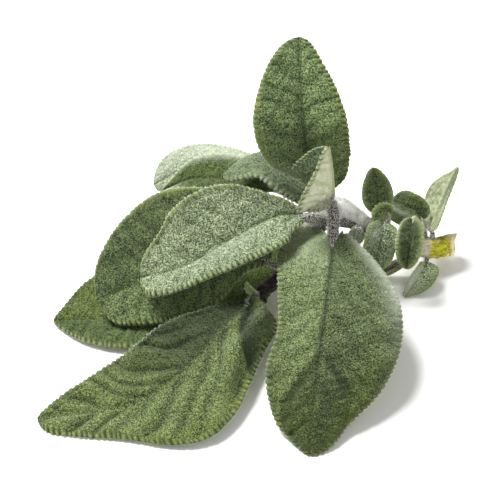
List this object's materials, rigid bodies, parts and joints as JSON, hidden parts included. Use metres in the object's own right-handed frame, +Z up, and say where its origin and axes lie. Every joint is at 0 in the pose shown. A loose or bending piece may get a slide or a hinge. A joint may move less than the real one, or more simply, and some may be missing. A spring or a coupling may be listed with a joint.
{
  "type": "sage sprig",
  "caption": "Cut sprig of common sage lying on its side, with broad velvety toothed leaves on a short woody stem and small leafy side shoots.",
  "frame": {"origin": "centre of the sprig's footprint, on the surface it lies on", "axes": "+X towards the cut end of the stem, +Y to the far side, where the top leaf leans, +Z up"},
  "size_m": [0.0988, 0.0969, 0.0515],
  "materials": {
    "stem_bark": "downy grey-purple bark with a fresh pale cut",
    "green_leaf": "velvety, pebbled grey-green upper face",
    "pale_leaf": "pale felted grey-green"
  },
  "bodies": {
    "root": {"stem": "stem_bark", "top_leaf": "green_leaf", "cupped_young_leaf": "pale_leaf", "arched_leaf": "green_leaf", "front_left_leaf": "green_leaf", "left_leaf": "green_leaf", "far_left_leaf": "green_leaf", "lower_left_leaf": "green_leaf", "lower_right_leaf": "green_leaf", "back_left_leaf": "pale_leaf", "back_leaf": "pale_leaf", "upright_narrow_leaf": "pale_leaf", "low_small_leaf": "green_leaf", "curled_young_leaf": "green_leaf", "hidden_small_leaf": "green_leaf", "inner_side_shoot": "green_leaf", "outer_side_shoot": "green_leaf"}
  },
  "joints": []
}
